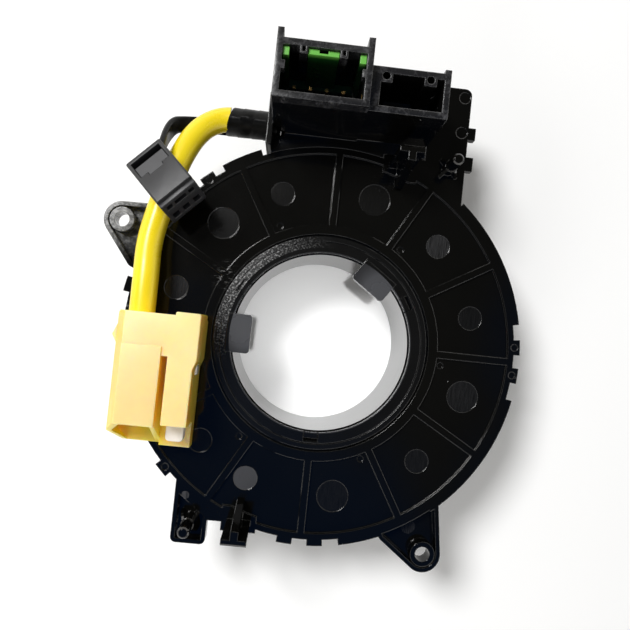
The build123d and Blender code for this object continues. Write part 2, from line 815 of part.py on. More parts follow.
def make_connector_housing():
    base_z = (block_bottom, face_height)
    base = block((block_left, block_right), (rim_radius / 2, block_end_y), base_z)
    base -= column(skirt_inner, block_bottom, face_height)
    base -= block((pad_left, block_right), (0, pad_end), base_z)
    base -= block_inside(0, block_bottom, cover_underside)
    housing = base - cable_window(rim_radius, skirt_outer + wall)
    housing += socket(socket_1_x, socket_1_y, socket_1_height)
    housing += socket(socket_2_x, socket_2_y, socket_2_height)
    ear_z = (face_height + socket_1_ear_start, face_height + socket_1_height)
    for x in (socket_1_x[0], socket_1_x[1] - wall):
        ear_y = (socket_1_y[1] - wall, socket_1_y[1] + socket_1_ear)
        housing += block((x, x + wall), ear_y, ear_z)
    socket_2_z = (face_height, face_height + socket_2_height)
    ear_y = (socket_2_y[1] - wall, socket_2_y[1] + socket_2_ear)
    housing += block((socket_2_x[1] - wall, socket_2_x[1]), ear_y, socket_2_z)
    bridge_x = (socket_1_x[1] - wall / 2, socket_2_x[0] + wall / 2)
    housing += block(bridge_x, socket_2_y, socket_2_z)
    half = socket_2_boss_size / 2
    for x, inset in socket_2_bosses:
        boss_y = (socket_2_y[1] - inset - half, socket_2_y[1] - wall / 2)
        housing += block((x - half, x + half), boss_y, socket_2_z)
    for x, inset in socket_2_bosses:
        centre = (x, socket_2_y[1] - inset)
        housing -= column(socket_2_boss_hole, socket_floor_top, socket_2_z[1], centre)
    for piece in socket_1_mouldings():
        housing += piece
    for hole in socket_pin_blocks(cover_underside, socket_floor_top + pin_pad_height, pin_size):
        housing -= hole
    return housing - lead_exit(seat_gap, block_left - wall, block_left + 2 * wall)


def socket_1_mouldings():
    """The hooks of the far wall, the tabs of the side walls and a pad behind each pin."""
    top = face_height + socket_1_height
    far = socket_1_y[1] - wall
    pieces = []
    for start, end in socket_1_hooks:
        hook_z = (top - socket_1_hook_height, top)
        hook = block((start, end), (far - socket_1_hook_reach, far + wall / 2), hook_z)
        hole_x = (start + socket_1_hook_wall, end - socket_1_hook_wall)
        hole_y = (far - socket_1_hook_reach + socket_1_hook_wall, far)
        pieces.append(hook - block(hole_x, hole_y, hook_z))
    length, reach, height = socket_1_tab
    tab_y = (socket_1_y[0] + socket_1_tab_start, socket_1_y[0] + socket_1_tab_start + length)
    left, right = socket_1_x[0] + wall, socket_1_x[1] - wall
    for tab_x in ((left - wall / 2, left + reach), (right - reach, right + wall / 2)):
        pieces.append(block(tab_x, tab_y, (top - height, top)))
    pad_z = (socket_floor_top - wall / 2, socket_floor_top + pin_pad_height)
    return pieces + socket_pin_blocks(*pad_z, pin_pad_size)


# Wrapped exit of the leads
def lead_exit(gap, x_start, x_end):
    """An oval barrel along X round both leads, grown by a gap."""
    tube_y, tube_z = tube_route[0][1], tube_route[0][2]
    lead_y, lead_z = lead_route[0][1], lead_route[0][2]
    grow = tape_thickness + gap
    oval = make_hull(
        (Pos(tube_y, tube_z) * Circle(tube_radius + grow)).edges()
        + (Pos(lead_y, lead_z) * Circle(lead_radius + grow)).edges()
    )
    return bar(oval, x_start, x_end)


def make_tape_wrap():
    return lead_exit(0, tape_end_x, block_left + wall)


def make_terminal_cap():
    cap_x = (block_left - cap_thickness, block_left)
    cap = block(cap_x, cap_y, cap_z)
    window_z = (cap_z[1] - 3 * cap_window, cap_z[1] - 2 * cap_window)
    for y in (cap_y[0] + cap_window, cap_y[1] - 2 * cap_window):
        cap -= block(cap_x, (y, y + cap_window), window_z)
    return cap - lead_exit(seat_gap, *cap_x)


def make_block_lid():
    return block_inside(seat_gap / 2, block_bottom, block_bottom + lid_thickness)


# Pieces inside the first socket
def make_socket_pins():
    return Compound(socket_pin_blocks(cover_underside, face_height + pin_tip, pin_size))


def make_holder():
    bottom = socket_floor_top
    top = face_height + holder_height
    x = (socket_1_x[0] + wall + seat_gap, socket_1_x[1] - wall - seat_gap)
    back = socket_1_y[1] - wall - seat_gap
    base_y = (pin_centre[1] + holder_base_start, back)
    holder = block(x, base_y, (bottom, bottom + holder_base))
    for start in (x[0], x[1] - holder_arm):
        holder += block((start, start + holder_arm), (back - holder_arm_depth, back), (bottom, top))
    centre_y = (pin_centre[1] + holder_block_start, back)
    centre = block(holder_block_x, centre_y, (bottom, top))
    middle = (holder_block_x[0] + holder_block_x[1]) / 2
    width, depth, height = holder_notch
    notch_x = (middle - width / 2, middle + width / 2)
    centre -= block(notch_x, (back - depth, back), (top - height, top))
    return holder + centre


def make_shorting_springs():
    """Two blades that stand on the holder's base, beside its arms, and lean over the pins."""
    base = socket_floor_top + holder_base
    foot = socket_1_y[1] - wall - holder_arm_depth + spring_width / 2
    row = pin_centre[1]
    crest = (row + spring_crest[0], base + spring_crest[1])
    toe = (row + spring_toe[0], base + spring_toe[1])
    path = Polyline((foot, base), (foot, base + spring_foot), crest, toe)
    blade = extrude(Plane.YZ * trace(path, spring_width), spring_thickness / 2, both=True)
    inset = wall + holder_arm + 1.5 * seat_gap + spring_thickness / 2
    places = (socket_1_x[0] + inset, socket_1_x[1] - inset)
    return Compound([Pos(x, 0, 0) * blade for x in places])


def make_stator_lead_block():
    half = cable_window_angle / 2 - 1
    start, end = cable_window_direction - half, cable_window_direction + half
    inner = cable_outer_start + (cable_thickness + seat_gap) / 2
    bottom = cable_bottom + flat_gap
    neck_top = cover_underside - 2 * flat_gap
    neck = sector(inner, skirt_outer + 2 * lead_block_gap, start, end, bottom, neck_top)
    first_pin_x = pin_centre[0] - (pin_count - 1) / 2 * pin_pitch
    body_x = (first_pin_x - lead_block_margin, lead_block_end_x)
    body_y = (skirt_outer + lead_block_gap, pin_centre[1] + lead_block_margin)
    body = block(body_x, body_y, (bottom, cover_underside))
    body -= column(skirt_outer + seat_gap, bottom, cover_underside)
    return neck + body


# Yellow plug
def make_yellow_housing():
    top = plug_bottom + plug_height
    left, right, front, back = *plug_x, *plug_y
    stepped_x = right - plug_side_step
    corners = [(left, front + plug_front_cut), (left + plug_front_cut, front), (stepped_x, front)]
    corners += [(stepped_x, plug_side_step_y[0]), (right, plug_side_step_y[1]), (right, back)]
    outline = Polygon(*corners, (left, back), align=None)
    outline = fillet(outline.vertices().sort_by(Axis.Y)[-2:], plug_corner)
    shoulder = rectangle((plug_shoulder_x, right), (0, back + plug_shoulder))
    shoulder = fillet(shoulder.vertices().sort_by(Axis.Y)[-2:], plug_shoulder / 2)
    body = prism(outline, plug_bottom, top)
    body += prism(shoulder, plug_bottom + plug_bulge_inset, top)
    knee = plug_bottom + plug_knee
    crest_top = (plug_crest_x, top)
    beyond = left - plug_bulge
    slope = Polygon((left, knee), crest_top, (beyond, top), (beyond, knee), align=None)
    body -= Pos(0, front, 0) * extrude(Plane.XZ * slope, back - front, dir=(0, 1, 0))
    hood_y = (plug_hood_y, plug_hood_start)
    hood_x = (plug_crest_x, plug_slot_x[0])
    body += block(hood_x, hood_y, (top - plug_wall, top + plug_hood_raise))
    inside = left + plug_wall
    start, end = plug_bulge_y
    crest = (left - plug_bulge, start + plug_bulge_inset)
    bulge = Polygon((inside, start), (left, start), crest, (inside, end), align=None)
    body += prism(bulge, plug_bottom + plug_bulge_inset, knee)
    # slot between the hood and the tower
    slot_y = (plug_y[0] - 1, plug_slot_end)
    body -= block(plug_slot_x, slot_y, (top - plug_slot_depth, top + 1))
    # open mouth of the hood, with its top set back and its sides sloped to the lower lip
    mouth_end = plug_slot_x[0] - plug_wall
    low, high = plug_bottom + plug_wall, top - plug_wall
    corners = [(inside, low), (mouth_end, low), (mouth_end, high), (plug_crest_x + plug_wall, high)]
    section = Polygon(*corners, (inside, knee), align=None)
    mouth = Pos(0, front, 0) * extrude(Plane.XZ * section, plug_hood_depth, dir=(0, 1, 0))
    corners = [(inside, front + plug_front_cut), (inside + plug_front_cut, front), (mouth_end, front)]
    corners += [(mouth_end, front + plug_hood_depth), (inside, front + plug_hood_depth)]
    body -= mouth & prism(Polygon(*corners, align=None), low, high)
    above = top + plug_wall
    corners = [(front, low), (plug_hood_y, high), (plug_hood_y, above), (front, above)]
    body -= bar(Polygon(*corners, align=None), beyond, plug_slot_x[0])
    # tower on the right, which ends over the sill that carries the white lock
    sill_x = (plug_slot_x[0], plug_x[1] + 1)
    sill_y = (plug_y[0] - 1, plug_tower_end)
    body -= block(sill_x, sill_y, (plug_bottom + plug_sill_height, top + 1))
    body -= lock_shape(flat_gap, lock_travel)
    return body


def lock_shape(gap, travel):
    """The white lock with its side tab, grown by a gap and by its travel along +Y."""
    z = (lock_z[0] - gap, lock_z[1] + gap)
    end = lock_y[1] + travel + gap
    blade = block((lock_x[0] - gap, lock_x[1] + gap), (lock_y[0] - gap, end), z)
    tab_x = ((lock_x[0] + lock_x[1]) / 2, plug_x[1] - plug_side_step / 2)
    return blade + block(tab_x, (lock_y[1] - lock_tab_length - gap, end), z)


def make_lock():
    lock = lock_shape(0, 0)
    end = lock.edges().filter_by(Axis.Z).sort_by(Axis.Y)[:2]
    return chamfer(end, 3 * flat_gap)


def make_yellow_terminals():
    """Two female terminals at the back of the hood's mouth."""
    z = plug_bottom + plug_height / 2
    end = plug_y[0] + plug_hood_depth
    hollow = plug_terminal_size - 2 * plug_terminal_wall
    outer = Box(plug_terminal_size, plug_terminal_length, plug_terminal_size)
    outer -= Pos(0, -plug_terminal_wall, 0) * Box(hollow, plug_terminal_length, hollow)
    y = end - plug_terminal_length / 2
    return Compound([Pos(x, y, z) * outer for x in plug_terminal_x])


# Black plug, built along +X about its own centre and then set in place
def place_small_plug(shape):
    centre = Pos(*small_plug_place, face_height + small_plug_rise)
    return centre * Rot(0, 0, small_plug_heading) * Rot(0, -small_plug_tilt, 0) * shape


def small_plug_holes(inset):
    """The three square holes of the open end."""
    front = small_plug_size[0] / 2
    side = small_hole / 2 - inset
    z = small_hole_rise - small_plug_size[2] / 2
    holes = []
    for y in (-small_hole_pitch, 0, small_hole_pitch):
        hole_x = (front - small_hole_depth, front)
        holes.append(block(hole_x, (y - side, y + side), (z - side, z + side)))
    return holes


def retainer_shape(rear, gap, bottom, top):
    """The retainer plate with the step at its front, grown by a gap."""
    length, width = retainer_window
    front = retainer_rear - small_plug_size[0] / 2 + length + gap
    half = width / 2 + gap
    shape = block((rear, front), (-half, half), (bottom, top))
    return shape + block((rear, front + retainer_step), (-half / 2, half / 2), (bottom, top))


def make_black_housing():
    length, width, height = small_plug_size
    body = Box(length, width, height)
    body = fillet(body.edges().filter_by(Axis.X), small_plug_corner)
    top = height / 2
    rear = retainer_rear - length / 2
    body -= retainer_shape(rear, retainer_gap, top - retainer_window_depth, top)
    for hole in small_plug_holes(0):
        body -= hole
    slot_z = (small_slot_rise - small_slot_height / 2, small_slot_rise + small_slot_height / 2)
    for y, slot_width in small_slots:
        slot_y = (y - slot_width / 2, y + slot_width / 2)
        body -= block((length / 2 - small_slot_depth, length / 2), slot_y, slot_z)
    lip_x = (length / 2 - small_lip[0], length / 2)
    lip = block(lip_x, (-width / 2, width / 2), (top - small_lip[1], top))
    return place_small_plug(body - lip)


def make_black_retainer():
    rear = retainer_rear + retainer_inset - small_plug_size[0] / 2
    top = small_plug_size[2] / 2
    bottom = top - retainer_window_depth + retainer_travel
    return place_small_plug(retainer_shape(rear, 0, bottom, top - retainer_sink))


def make_black_terminals():
    rear = small_plug_size[0] / 2 - small_hole_depth
    room = Pos(rear, 0, 0) * Box(2 * small_terminal_length, small_plug_size[1], small_plug_size[2])
    terminals = [hole & room for hole in small_plug_holes(small_hole / 4)]
    return place_small_plug(Compound(terminals))


# Leads: round tubes along straight runs joined by tangent arcs
def tube_along(points, radius):
    corners = [Vector(*point) for point in points]
    radii = []
    for before, corner, after in zip(corners, corners[1:], corners[2:]):
        arriving, leaving = corner - before, after - corner
        turn = radians(arriving.get_angle(leaving))
        shorter = min(arriving.length, leaving.length)
        radii.append(0.45 * shorter / tan(turn / 2))
    path = FilletPolyline(*corners, radius=radii)
    section = Plane(origin=path @ 0, z_dir=path % 0) * Circle(radius)
    tube = sweep(section, path=path)
    print("bend radii", [round(value, 1) for value in radii], "length", round(path.length, 1),
          "volume ratio", round(tube.volume / (path.length * section.area), 4))
    return tube


def write(name, shape):
    shape.label = name
    export_step(shape, f"parts/{name}.step")


os.makedirs("parts", exist_ok=True)
write("stator_cover", make_cover())
write("stator_case", make_case())
write("connector_housing", make_connector_housing())
write("block_lid", make_block_lid())
write("terminal_cap", make_terminal_cap())
write("shorting_bar_holder", make_holder())
write("shorting_springs", make_shorting_springs())
write("socket_pins", make_socket_pins())
write("stator_lead_block", make_stator_lead_block())
write("flat_cable", make_flat_cable())
write("upper_slide_sheet", make_upper_sheet())
write("lower_slide_sheet", make_lower_sheet())
write("rotor", make_rotor())
write("rotor_ring", make_sleeve())
write("rotor_lead_block", make_rotor_lead_block())
wheel_pin_z = (wheel_socket_depth - wheel_pin_length, flange_top)
write("wheel_socket_pins", Compound(wheel_pins(*wheel_pin_z, pin_size)))
write("roller_carrier", make_carrier())
for number in range(roller_count):
    write(f"roller_{number + 1}", make_roller(number))
write("tape_wrap", make_tape_wrap())
write("yellow_tube", tube_along(tube_route, tube_radius))
write("yellow_housing", make_yellow_housing())
write("white_lock", make_lock())
write("yellow_terminals", make_yellow_terminals())
write("black_lead", tube_along(lead_route, lead_radius))
write("black_housing", make_black_housing())
write("black_retainer", make_black_retainer())
write("black_terminals", make_black_terminals())
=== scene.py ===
# %% [markdown]
# # A steering clock spring, dressed for its picture
# The solids of this rotary coupling come from its CAD model. This lesson gives them a camera, light,
# soft edges, a wound tape wrap, and finishes that look like the real plastics. Everything is in
# metres, in the model's own axes: the bore runs along Z, and the cover faces up.

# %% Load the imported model
import json
import math

import bpy
from mathutils import Matrix, Vector


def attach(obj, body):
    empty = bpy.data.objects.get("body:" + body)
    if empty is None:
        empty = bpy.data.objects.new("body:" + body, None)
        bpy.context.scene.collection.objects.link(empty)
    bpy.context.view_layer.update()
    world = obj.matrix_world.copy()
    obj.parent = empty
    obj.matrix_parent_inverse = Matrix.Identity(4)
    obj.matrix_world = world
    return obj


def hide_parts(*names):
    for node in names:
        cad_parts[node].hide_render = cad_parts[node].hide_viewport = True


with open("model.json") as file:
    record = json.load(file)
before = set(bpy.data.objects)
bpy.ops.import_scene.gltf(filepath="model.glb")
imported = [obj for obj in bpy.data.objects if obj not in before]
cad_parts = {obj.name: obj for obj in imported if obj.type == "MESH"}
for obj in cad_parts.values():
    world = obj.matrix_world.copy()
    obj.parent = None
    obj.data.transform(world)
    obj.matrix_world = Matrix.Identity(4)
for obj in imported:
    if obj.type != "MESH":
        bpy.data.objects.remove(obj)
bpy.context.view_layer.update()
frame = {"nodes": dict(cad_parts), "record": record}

MM = 0.001
nodes = frame["nodes"]

# %% [markdown]
# ## The camera
# The picture was taken from straight above the cover, close enough for the tall sockets to lean
# outwards. A Track To constraint could aim a camera. Three unit vectors say the same with no
# constraint, and they hold the small roll of the picture too.

# %% Camera
camera_right = Vector((0.99365, 0.10444, 0.04184))
camera_up = Vector((-0.10540, 0.99419, 0.02164))
camera_back = camera_right.cross(camera_up).normalized()
camera_place = Vector((-9.23, 2.30, 210.0)) * MM
turn = Matrix((camera_right, camera_up, camera_back)).transposed().to_4x4()
bpy.ops.object.camera_add()
camera = bpy.context.active_object
camera.name = "camera"
camera.matrix_world = Matrix.Translation(camera_place) @ turn
camera.data.sensor_width = 36.0
camera.data.lens = 39.57
camera.data.clip_start = 0.005
bpy.context.scene.camera = camera
bpy.context.scene.view_settings.view_transform = "Standard"
print("camera looks along", [round(v, 3) for v in -camera_back])

# %% [markdown]
# ## The two leads
# A soft yellow sleeve and a flat taped lead leave the wrapped exit beside the sockets. A mesh tube
# could stand for each, but a curve with a round bevel keeps the route as a handful of points that can
# be moved. Each point's radius is the lead's real half width, because Blender counts it in the size
# of the object, so the bevel and the flat part are only shares of it.

# %% Helper: a smooth curve through a lead's route
def lead_curve(name, route, half_thickness, flat_half=0.0):
    """A round lead, or a flat one whose middle is flat for flat_half each way. All in millimetres."""
    half_width = half_thickness + flat_half
    bpy.ops.object.select_all(action="DESELECT")
    bpy.ops.curve.primitive_nurbs_path_add()
    lead = bpy.context.active_object
    lead.name = name
    lead.data.splines.clear()
    spline = lead.data.splines.new("NURBS")
    spline.points.add(len(route) - 1)
    for point, (x, y, z) in zip(spline.points, route):
        point.co = (x * MM, y * MM, z * MM, 1.0)
        point.radius = half_width * MM
    spline.order_u = 3
    spline.use_endpoint_u = True
    spline.resolution_u = 16
    lead.data.bevel_depth = half_thickness / half_width
    lead.data.bevel_resolution = 6
    lead.data.extrude = flat_half / half_width
    lead.data.use_fill_caps = True
    print(name, "points:", len(route))
    return lead


# %% [markdown]
# ### The yellow sleeve
# The sleeve comes straight out of the wrap, bends along the rim of the cover and ends in the rear of
# the yellow plug. It could be let fall in a simulation, but nine listed points follow the picture
# more closely.

# %% Yellow sleeve
sleeve_route = [
    (-29.4, 55.8, 28.0), (-32.4, 55.6, 28.0), (-37.2, 51.6, 30.0), (-40.4, 44.4, 32.4),
    (-42.5, 36.2, 34.0), (-44.3, 28.6, 34.6), (-45.5, 20.4, 36.0), (-44.9, 11.6, 38.0),
    (-44.9, 3.1, 38.0),
]
yellow_sleeve = lead_curve("yellow_sleeve", sleeve_route, half_thickness=3.2)
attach(yellow_sleeve, "stator")
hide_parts("yellow_tube")

# %% [markdown]
# ### The taped lead
# The taped lead lies flat as it leaves the wrap, and leans over as it climbs to the black plug. A tilt
# at each point gives that turn. A strip of mesh could be twisted too, but then its round edges would
# have to be made by hand.

# %% Taped lead
lead_route = [
    (-29.4, 55.2, 22.4), (-34.0, 55.2, 22.4), (-40.8, 54.6, 23.8), (-45.2, 51.8, 30.6),
    (-44.4, 41.2, 41.2),
]
lead_tilts = (1.57, 1.57, 1.57, 1.3, 0.8)
taped_lead = lead_curve("taped_lead", lead_route, half_thickness=0.8, flat_half=1.35)
for point, tilt in zip(taped_lead.data.splines[0].points, lead_tilts):
    point.tilt = tilt
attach(taped_lead, "stator")
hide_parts("black_lead")

# %% [markdown]
# ## Sums on sockets
# A material is a small sum: mottling times a mask, plus a constant. Adding and wiring each Math node
# by name hides that sum. This class wraps an output socket, so that ordinary Python arithmetic adds
# the nodes, and its method node makes any other node.

# %% A socket that understands arithmetic
class Signal:
    """An output socket of a node tree. Arithmetic on it adds Math nodes."""

    def __init__(self, tree, socket=None):
        self.tree = tree
        self.socket = socket

    def node(self, kind, settings, inputs, output=0):
        """Adds a node: first its settings, then the values or links of its sockets."""
        made = self.tree.nodes.new(kind)
        for name, value in settings.items():
            setattr(made, name, value)
        for name, value in inputs.items():
            if isinstance(value, Signal):
                self.tree.links.new(value.socket, made.inputs[name])
            else:
                made.inputs[name].default_value = value
        return Signal(self.tree, made.outputs[output])

    def other(self, output):
        """Another output of the node that this one comes from."""
        return Signal(self.tree, self.socket.node.outputs[output])

    def maths(self, operation, *values):
        """One Math node on these values."""
        return self.node("ShaderNodeMath", {"operation": operation}, dict(enumerate(values)))

    def __add__(self, value):
        return self.maths("ADD", self, value)

    def __sub__(self, value):
        return self.maths("SUBTRACT", self, value)

    def __rsub__(self, value):
        return self.maths("SUBTRACT", value, self)

    def __mul__(self, value):
        return self.maths("MULTIPLY", self, value)

    def __lt__(self, value):
        return self.maths("LESS_THAN", self, value)

    def __gt__(self, value):
        return self.maths("GREATER_THAN", self, value)

    __radd__ = __add__
    __rmul__ = __mul__


# %% [markdown]
# ## The floor
# The object lies on plain white paper. A brighter lamp could make the paper white, but it would bleach
# the yellow plug too. So the paper has a weak glow that only the camera and reflections see, and the
# object's shadow stays.

# %% Floor
floor_height = -0.2 * MM  # so that it doesn't touch the object's lowest faces
paper_white = (0.94, 0.94, 0.94, 1.0)
paper_glow = 0.08
bpy.ops.object.select_all(action="DESELECT")
bpy.ops.mesh.primitive_plane_add(size=30.0, location=(0.0, 0.0, floor_height))
floor = bpy.context.active_object
floor.name = "floor"
paper = bpy.data.materials.new("paper_floor")
paper.use_nodes = True
seen = Signal(paper.node_tree).node("ShaderNodeLightPath", {}, {}, "Is Camera Ray")
shown = seen + seen.other("Is Glossy Ray") + seen.other("Is Transmission Ray")
diffuse = seen.node("ShaderNodeBsdfDiffuse", {}, {"Color": paper_white})
glow = seen.node("ShaderNodeEmission", {}, {"Color": shown, "Strength": paper_glow})
both = seen.node("ShaderNodeAddShader", {}, {0: diffuse, 1: glow})
paper.node_tree.links.new(both.socket, paper.node_tree.nodes["Material Output"].inputs["Surface"])
floor.data.materials.append(paper)
print("floor nodes:", len(paper.node_tree.nodes))

# %% [markdown]
# ## The room
# Glossy black shows what it reflects. The room is pale at the horizon and dark overhead: flat faces
# see the dark ceiling, and each edge catches the pale walls as a thin line. Two cool patches in the
# ceiling give the blue fields of the picture. A blue plastic would be wrong from every other side.

# %% Helpers: a fade, and the height of a point
def fade(value, low, high, first=0.0, last=1.0, shape="LINEAR"):
    """Goes from first to last while the value goes from low to high, and stays flat beyond."""
    return value.node("ShaderNodeMapRange", {"interpolation_type": shape},
                      {"Value": value, "From Min": low, "From Max": high, "To Min": first, "To Max": last})


def z_of(vector):
    """The Z part of a vector. Its X and Y parts are its other outputs."""
    return vector.node("ShaderNodeSeparateXYZ", {}, {"Vector": vector}, "Z")


# %% Room
wall_glow = 2.4
ceiling_glow = 0.05
room_fill = 0.22  # light on the object itself
warm_ceiling = (1.0, 0.98, 0.93, 1.0)
cool_ceiling = (0.10, 0.90, 3.00, 1.0)
world = bpy.data.worlds.new("studio")
bpy.context.scene.world = world
world.use_nodes = True
seen = Signal(world.node_tree).node("ShaderNodeLightPath", {}, {}, "Is Camera Ray")
reflected = seen.other("Is Glossy Ray") + seen.other("Is Transmission Ray")
direction = seen.node("ShaderNodeTexCoord", {}, {}, "Generated")
upward = z_of(direction)
sideways, forward = upward.other("X"), upward.other("Y")
walls = fade(upward, 0.10, 0.85, wall_glow, ceiling_glow, "SMOOTHSTEP")
strength = seen + reflected * walls + (1 - seen - reflected) * room_fill
print("room nodes for its strength:", len(world.node_tree.nodes))

# %% Cool patches in the ceiling
drift = direction.node("ShaderNodeTexNoise", {}, {"Vector": direction, "Scale": 9.0, "Detail": 2.0})
cool_front = fade(forward + sideways * 0.5 + drift * 0.35, 0.02, 0.14, 1.0, 0.0, "SMOOTHSTEP")
cool_right = fade(sideways - forward * 0.2 + drift * 0.12, 0.34, 0.39, 0.0, 0.55, "SMOOTHSTEP")
overhead = upward > 0.8
tint = seen.node("ShaderNodeMix", {"data_type": "RGBA"},
                 {"Factor": (cool_front + cool_right) * reflected * overhead,
                  "A": warm_ceiling, "B": cool_ceiling}, "Result")
background = world.node_tree.nodes["Background"]
world.node_tree.links.new(strength.socket, background.inputs["Strength"])
world.node_tree.links.new(tint.socket, background.inputs["Color"])
print("room nodes with its colour:", len(world.node_tree.nodes))

# %% [markdown]
# ## The key lamp
# One large lamp at the upper left makes the highlights and the soft shadow at the lower right. A sun
# lamp could do the same, but with a hard shadow. The lamp stands far enough to the side for the flat
# cover not to mirror it into the camera.

# %% Helper: a round soft lamp
def round_lamp(name, place, aim_height, size, watts):
    """A disk lamp that shines at a point of the bore's axis. Its lengths are in metres."""
    bpy.ops.object.light_add(type="AREA", location=place)
    lamp = bpy.context.active_object
    lamp.name = name
    lamp.data.shape = "DISK"
    lamp.data.size = size
    lamp.data.energy = watts
    lamp.rotation_mode = "QUATERNION"
    lamp.rotation_quaternion = (lamp.location - Vector((0.0, 0.0, aim_height))).to_track_quat("Z", "Y")
    print(name, "power:", watts, "W")
    return lamp


# %% Key lamp
round_lamp("key_lamp", place=(-0.33, 0.30, 0.72), aim_height=0.02, size=0.28, watts=6.3)

# %% [markdown]
# ## A lamp down the bore
# The paper shows white through the deep bore, although the key lamp comes in at a slant. A wider key
# lamp would wash out the shadow beside the object, so a narrow lamp straight above does it. It stays
# out of reflections, where it would show as a spot on the gloss.

# %% Bore lamp
bpy.ops.object.light_add(type="SPOT", location=(0.0, 0.0, 0.86))
bore_lamp = bpy.context.active_object
bore_lamp.name = "bore_lamp"
bore_lamp.data.energy = 28.0
bore_lamp.data.spot_size = math.radians(4.2)
bore_lamp.data.spot_blend = 0.7
bore_lamp.data.shadow_soft_size = 0.03
bore_lamp.visible_glossy = False
print("bore_lamp power:", bore_lamp.data.energy, "W")

# %% [markdown]
# ## Fill from the front
# The front of the yellow plug and the mouth in it face away from the key lamp. A weak lamp low in
# front lifts them. More light from the whole room would do that too, but it would fill every shadow.

# %% Fill lamp
fill_lamp = round_lamp("fill_lamp", place=(-0.20, -0.50, 0.25), aim_height=0.03, size=0.30, watts=1.2)
fill_lamp.visible_glossy = False

# %% [markdown]
# ## Soft edges on the solids
# The CAD solids have knife edges, and nothing moulded has. On the plugs, the lock and the socket block
# the rounding is large enough to change the outline, so those get a copy of the solid with a Bevel
# modifier. A CAD mesh is loose triangles: its doubles are merged and its flat faces dissolved first, or
# the bevel would follow every triangle.

# %% Helper: a copy of a solid with rounded edges
def rounded_copy(node, name, width, segments=3, body="stator"):
    """A copy of a CAD node that takes its place, with a rounding of this width in millimetres."""
    bpy.ops.object.select_all(action="DESELECT")
    piece = nodes[node].copy()
    piece.data = nodes[node].data.copy()
    piece.name = name
    piece.parent = None
    for tag in list(piece.keys()):
        del piece[tag]
    bpy.context.scene.collection.objects.link(piece)
    piece.select_set(True)
    bpy.context.view_layer.objects.active = piece
    bpy.ops.object.mode_set(mode="EDIT")
    bpy.ops.mesh.select_all(action="SELECT")
    bpy.ops.mesh.remove_doubles(threshold=0.01 * MM)
    bpy.ops.mesh.dissolve_limited(angle_limit=math.radians(1.0))
    bpy.ops.object.mode_set(mode="OBJECT")
    bevel = piece.modifiers.new("rounding", "BEVEL")
    bevel.width = width * MM
    bevel.segments = segments
    bevel.limit_method = "ANGLE"
    bevel.angle_limit = math.radians(35.0)
    bpy.ops.object.modifier_apply(modifier=bevel.name)
    bpy.ops.object.shade_smooth_by_angle(angle=math.radians(40.0))
    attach(piece, body)
    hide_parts(node)
    print(name, "faces:", len(piece.data.polygons))
    return piece


# %% The two plugs, the lock and the block of sockets
yellow_plug = rounded_copy("yellow_housing", "yellow_plug", width=0.8, segments=4)
plug_lock = rounded_copy("white_lock", "plug_lock", width=0.6, body="lock")
black_plug = rounded_copy("black_housing", "black_plug", width=0.2)
socket_block = rounded_copy("connector_housing", "socket_block", width=0.36)

# %% [markdown]
# ## The wrapped exit
# Cloth tape is wound round both leads where they leave the block. One smooth tube would look like
# pipe, so the wrap is built as the tape was laid: a slanted ring is extruded along X, and every turn
# starts with a small step outwards.

# %% The ring that the wrap starts from
wrap_start = Vector((-29.6, 55.75, 26.2)) * MM
wrap_radius = 3.6 * MM
wrap_height = 1.48  # as a share of its width
wrap_slant = math.radians(14.0)
bpy.ops.object.select_all(action="DESELECT")
bpy.ops.mesh.primitive_circle_add(vertices=40, radius=wrap_radius, fill_type="NGON", location=wrap_start,
                                  rotation=(0.0, math.radians(90.0), 0.0))
tape = bpy.context.active_object
tape.name = "wound_tape"
bpy.ops.object.transform_apply(location=True, rotation=True, scale=True)
bpy.ops.object.mode_set(mode="EDIT")
bpy.ops.mesh.select_all(action="SELECT")
bpy.ops.transform.resize(value=(1.0, 1.0, wrap_height), center_override=wrap_start)
bpy.ops.transform.rotate(value=wrap_slant, orient_axis="Z", center_override=wrap_start)
print("points of the ring:", len(tape.data.vertices))

# %% Turns of the tape
# Each is a step along X in millimetres and a growth of the ring.
tape_turns = [
    (0.2, 1.03), (2.6, 0.985), (0.15, 1.03), (2.4, 0.98), (1.2, 0.985), (0.15, 1.03), (2.9, 0.98),
    (0.15, 1.03), (3.3, 0.97),
]
reach = wrap_start.copy()
for step, growth in tape_turns:
    bpy.ops.mesh.extrude_region_move(TRANSFORM_OT_translate={"value": (step * MM, 0.0, 0.0)})
    reach.x += step * MM
    bpy.ops.transform.resize(value=(1.0, growth, growth), center_override=reach)
bpy.ops.mesh.select_all(action="SELECT")
bpy.ops.mesh.normals_make_consistent(inside=False)
bpy.ops.object.mode_set(mode="OBJECT")
bpy.ops.object.shade_smooth_by_angle(angle=math.radians(50.0))
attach(tape, "stator")
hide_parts("tape_wrap")
print("tape ends at x", round(reach.x / MM, 2), "mm, faces:", len(tape.data.polygons))

# %% [markdown]
# ## Finishes
# The mouldings differ in gloss more than in colour. Each finish is one Principled shader. Noise at
# two scales varies its colour and its roughness, and a Bevel node rounds the normals of sharp edges,
# so that every edge of the solids catches a thin line of light without a single extra face. Painted
# images could vary the surface too, but noise needs no unwrapping and stays sharp close up.

# %% Helper: the start of a finish
def new_finish(name, fixed=None):
    """A material with some fixed sockets, and the point in the piece's own axes."""
    material = bpy.data.materials.new(name)
    material.use_nodes = True
    shader = material.node_tree.nodes["Principled BSDF"]
    for socket, value in (fixed or {}).items():
        shader.inputs[socket].default_value = value
    return material, Signal(material.node_tree).node("ShaderNodeTexCoord", {}, {}, "Object")


# %% Helpers: noise, and a mix of two colours
def noise(place, scale, detail=3.0, rough=0.55):
    """Soft random mottling around one half. A larger scale makes it finer."""
    return place.node("ShaderNodeTexNoise", {},
                      {"Vector": place, "Scale": scale, "Detail": detail, "Roughness": rough})


